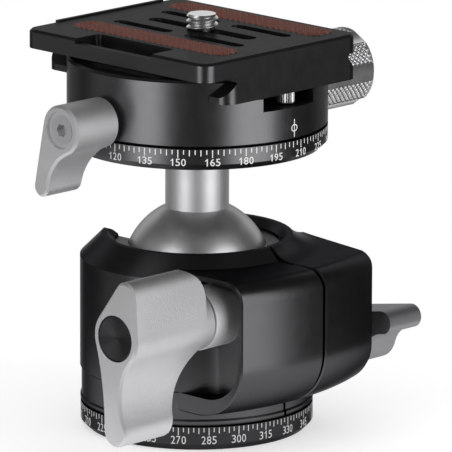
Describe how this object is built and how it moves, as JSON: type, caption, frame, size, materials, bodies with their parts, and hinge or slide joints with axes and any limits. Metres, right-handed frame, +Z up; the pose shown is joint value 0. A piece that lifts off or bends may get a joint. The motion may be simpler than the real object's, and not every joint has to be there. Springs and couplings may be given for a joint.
{
  "type": "tripod ball head",
  "caption": "Ball head with split housing, drop notch, panning base and panning quick-release clamp that holds a dovetail camera plate.",
  "frame": {"origin": "centre of the base's underside, on the axis of the tripod socket", "axes": "+Z up through the ball; +X towards the split clamp block of the housing, away from the drop notch; -Y towards the main knob; +Y towards the jaw knob"},
  "size_m": [0.0602, 0.0874, 0.0836],
  "materials": {
    "black_anodised": "satin black anodised",
    "silver_anodised": "bead-blasted silver anodised, bright bevelled edges",
    "grey_anodised": "titanium grey anodised, bright bevelled edges",
    "ball_coat": "hard anodised dark grey, satin",
    "bright_alloy": "turned, bright",
    "steel": "turned",
    "black_steel": "black oxide",
    "brass": "turned",
    "nylon": "plain",
    "pad_rubber": "textured brown rubber"
  },
  "bodies": {
    "base": {"base_ring": "black_anodised", "base_bushing": "brass", "pan_spigot": "steel", "base_screws": "steel", "pan_washer": "nylon"},
    "housing": {"housing": "black_anodised", "ball_liner": "nylon", "knob_collar": "silver_anodised", "pan_plunger": "brass", "pan_retainer": "steel", "pan_slip_ring": "nylon"},
    "main_knob": {"main_knob": "silver_anodised", "knob_cap": "black_anodised", "clamp_bolt": "steel"},
    "pan_lever": {"pan_lever": "grey_anodised", "pan_stud": "steel", "pan_lever_screw": "black_steel", "pan_spacer": "steel"},
    "ball_seat": {"ball_seat": "nylon"},
    "ball_carrier": {"centre_bolt": "steel"},
    "ball": {"ball": "ball_coat", "stem": "bright_alloy", "clamp_scale_ring": "black_anodised", "clamp_slip_ring": "nylon", "retaining_disc": "steel", "disc_screw": "steel"},
    "clamp": {"clamp_body": "black_anodised", "brake_shoe": "brass", "jaw_springs": "steel"},
    "upper_lever": {"upper_lever": "grey_anodised", "upper_stud": "steel", "upper_lever_screw": "black_steel"},
    "jaw": {"moving_jaw": "black_anodised", "guide_pins": "steel"},
    "jaw_knob": {"jaw_knob": "silver_anodised", "jaw_knob_cap": "black_anodised", "jaw_screw": "steel", "jaw_washer": "steel"},
    "plate": {"quick_plate": "black_anodised", "pad_near": "pad_rubber", "pad_far": "pad_rubber", "stop_screws": "steel"},
    "screw_slider": {"screw_clip": "nylon"},
    "camera_screw": {"camera_screw": "steel"}
  },
  "joints": [
    {"name": "head_pan", "type": "hinge", "parent": "base", "child": "housing", "pos_m": [0, 0, 0], "axis": [0, 0, 1], "continuous": true},
    {"name": "main_knob_turn", "type": "hinge", "parent": "housing", "child": "main_knob", "pos_m": [0.0204, 0, 0.0286], "axis": [0, -1, 0], "range_deg": [-20, 340]},
    {"name": "pan_lever_turn", "type": "hinge", "parent": "housing", "child": "pan_lever", "pos_m": [0.0204, 0.022, 0.017], "axis": [0, 1, 0], "range_deg": [-20, 130]},
    {"name": "ball_roll", "type": "hinge", "parent": "housing", "child": "ball_seat", "pos_m": [0, 0, 0.03115], "axis": [1, 0, 0], "range_deg": [-25, 25]},
    {"name": "ball_drop", "type": "hinge", "parent": "ball_seat", "child": "ball_carrier", "pos_m": [0, 0, 0.03115], "axis": [0, -1, 0], "range_deg": [-30, 90]},
    {"name": "ball_spin", "type": "hinge", "parent": "ball_carrier", "child": "ball", "pos_m": [0, 0, 0.03115], "axis": [0, 0, 1], "continuous": true},
    {"name": "clamp_pan", "type": "hinge", "parent": "ball", "child": "clamp", "pos_m": [0, 0, 0.062], "axis": [0, 0, 1], "continuous": true},
    {"name": "upper_lever_turn", "type": "hinge", "parent": "clamp", "child": "upper_lever", "pos_m": [0, -0.0272, 0.066], "axis": [0, -1, 0], "range_deg": [-20, 110]},
    {"name": "jaw_slide", "type": "slide", "parent": "clamp", "child": "jaw", "axis": [0, 1, 0], "range_m": [0, 0.0045]},
    {"name": "jaw_knob_turn", "type": "hinge", "parent": "jaw", "child": "jaw_knob", "pos_m": [0, 0.0276, 0.0668], "axis": [0, 1, 0], "range_deg": [0, 1080]},
    {"name": "plate_slide", "type": "slide", "parent": "clamp", "child": "plate", "axis": [1, 0, 0], "range_m": [-0.0046, 0.0056]},
    {"name": "camera_screw_slide", "type": "slide", "parent": "plate", "child": "screw_slider", "axis": [1, 0, 0], "range_m": [-0.0126, 0.0126]},
    {"name": "camera_screw_turn", "type": "hinge", "parent": "screw_slider", "child": "camera_screw", "pos_m": [-0.0005, 0.0018, 0.0805], "axis": [0, 0, 1], "continuous": true}
  ],
  "couplings": [
    {"joint": "jaw_knob_turn", "follows": "jaw_slide", "rad_per_m": 4188.8}
  ]
}
